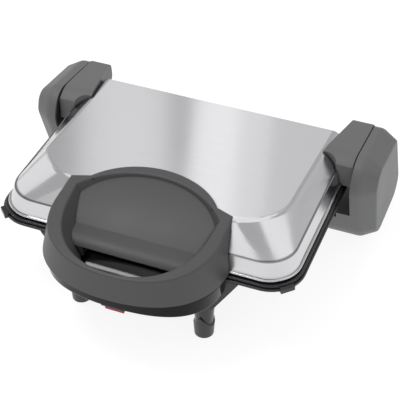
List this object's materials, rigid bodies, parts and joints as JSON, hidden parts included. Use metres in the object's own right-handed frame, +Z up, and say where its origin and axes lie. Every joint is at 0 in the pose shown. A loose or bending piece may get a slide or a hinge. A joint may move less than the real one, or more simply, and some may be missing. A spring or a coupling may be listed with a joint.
{
  "type": "sandwich maker",
  "caption": "Countertop sandwich maker: steel lid with a scooped grey handle on a floating hinge between two rear pods, over a black base with ribbed plates, front legs and a red rocker.",
  "frame": {"origin": "on the table, under the middle of the whole object's box", "axes": "+X to the user's right, +Y to the back where the hinge is, +Z up"},
  "size_m": [0.3764, 0.3547, 0.1357],
  "materials": {
    "lid_steel": "satin steel pressing, brushed",
    "handle_grey": "fine-grained dark grey moulding",
    "pod_grey": "fine-grained grey moulding",
    "base_black": "semi-gloss black moulding",
    "frame_black": "heat-resistant black moulding",
    "plate_coating": "cast plate with a dark non-stick coating",
    "heater_steel": "sheathed heater rod",
    "reflector_sheet": "bright thin sheet",
    "fastener_steel": "plated steel",
    "hinge_steel": "turned steel",
    "hinge_nylon": "self-lubricating plastic",
    "fuse_sleeve": "woven heat sleeve",
    "switch_brass": "pressed can",
    "terminal_white": "ceramic-filled moulding",
    "foot_rubber": "soft black rubber",
    "rocker_red": "red moulding"
  },
  "bodies": {
    "base": {"hinge_guide_left": "frame_black", "hinge_guide_right": "frame_black", "pod_cap_left": "pod_grey", "pod_cap_right": "pod_grey", "hinge_bracket_left": "pod_grey", "hinge_bracket_right": "pod_grey", "bracket_screws": "fastener_steel", "rear_foot_pads": "foot_rubber", "base_housing": "base_black", "lower_plate": "plate_coating", "lower_element": "heater_steel", "lower_reflector": "reflector_sheet", "lower_reflector_nuts": "fastener_steel", "lower_thermal_fuse": "fuse_sleeve", "lower_plate_screws": "fastener_steel", "thermostat": "switch_brass", "terminal_block": "terminal_white", "cord_inlet": "base_black", "lower_handle": "base_black", "rocker_frame": "base_black", "front_leg_left": "base_black", "front_leg_right": "base_black", "front_foot_left": "foot_rubber", "front_foot_right": "foot_rubber"},
    "hinge_carriage": {"hinge_pin_left": "hinge_steel", "hinge_pin_right": "hinge_steel", "hinge_slider_left": "hinge_nylon", "hinge_slider_right": "hinge_nylon"},
    "lid": {"lid_cover": "lid_steel", "lid_frame": "frame_black", "upper_plate": "plate_coating", "upper_element": "heater_steel", "upper_reflector": "reflector_sheet", "upper_reflector_nuts": "fastener_steel", "upper_thermal_fuse": "fuse_sleeve", "upper_plate_screws": "fastener_steel", "lid_handle": "handle_grey", "handle_screws": "fastener_steel", "lid_arm_left": "pod_grey", "lid_arm_right": "pod_grey", "hinge_bush_left": "hinge_nylon", "hinge_bush_right": "hinge_nylon"},
    "rocker": {"power_rocker": "rocker_red"}
  },
  "joints": [
    {"name": "hinge_float", "type": "slide", "parent": "base", "child": "hinge_carriage", "axis": [0, 0, 1], "range_m": [0, 0.012]},
    {"name": "lid_hinge", "type": "hinge", "parent": "hinge_carriage", "child": "lid", "pos_m": [0, 0.123, 0.0905], "axis": [-1, 0, 0], "range_deg": [0, 180]},
    {"name": "rocker_tilt", "type": "hinge", "parent": "base", "child": "rocker", "pos_m": [0, -0.156, 0.0715], "axis": [-1, 0, 0], "range_deg": [0, 14]}
  ]
}
